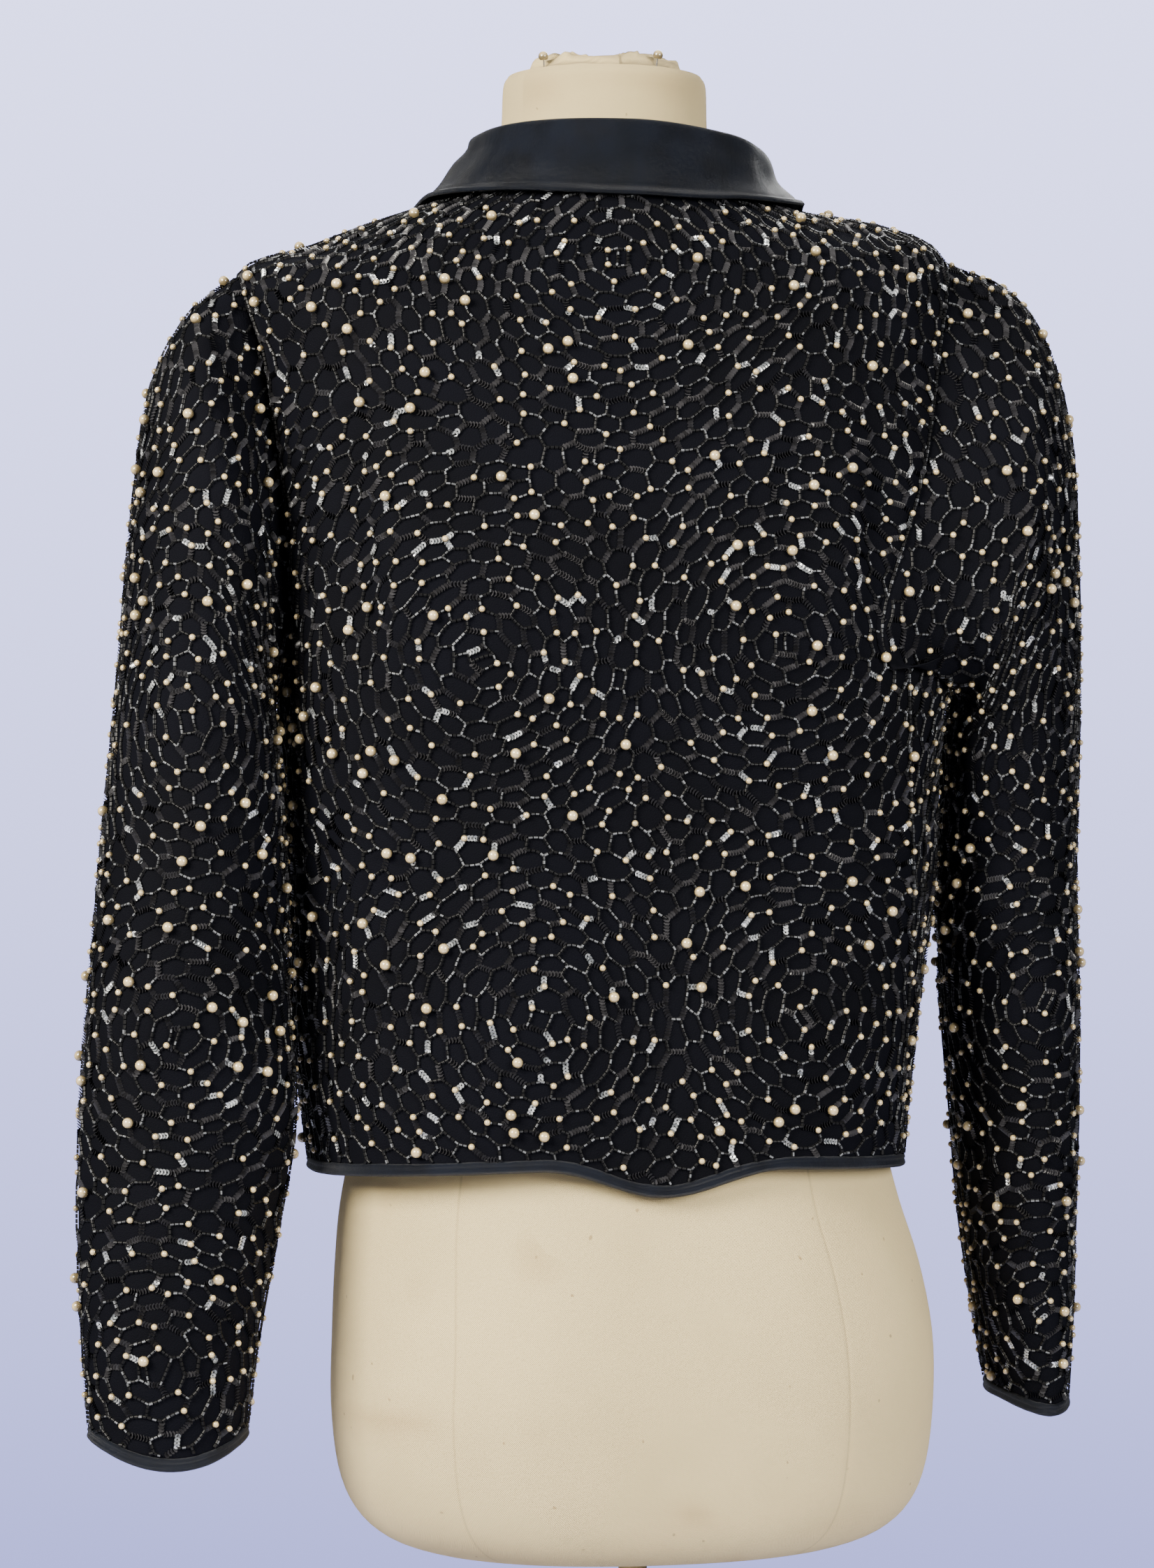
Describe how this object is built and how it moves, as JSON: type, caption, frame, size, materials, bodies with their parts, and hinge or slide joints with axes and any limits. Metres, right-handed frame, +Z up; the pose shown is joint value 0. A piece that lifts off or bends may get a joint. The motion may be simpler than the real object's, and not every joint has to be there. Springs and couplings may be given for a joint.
{
  "type": "beaded evening jacket on a dress form",
  "caption": "Cropped evening jacket of beaded net on a dark lining, with satin collar, hem and cuff bindings, worn by a limbless canvas dress form on a pole and round base.",
  "frame": {"origin": "middle of the base's flat underside, on the floor", "axes": "+Z up, +X to the wearer's left, -Y to the front"},
  "size_m": [0.5731, 0.31, 1.048],
  "materials": {
    "beaded_net": "black corded net with bugle beads, sequins and cream pearls over a navy-black lining",
    "satin": "black satin with a soft sheen",
    "canvas": "cream cotton canvas, closely woven, a little stained",
    "brass": "worn satin brass",
    "base_enamel": "dark enamel, satin"
  },
  "bodies": {
    "root": {"back": "beaded_net", "front_left": "beaded_net", "front_right": "beaded_net", "sleeve_left": "beaded_net", "sleeve_right": "beaded_net", "collar": "satin", "hem_binding": "satin", "cuff_binding_left": "satin", "cuff_binding_right": "satin", "dress_form": "canvas", "pole": "brass", "pole_collar": "brass", "base": "base_enamel"}
  },
  "joints": []
}
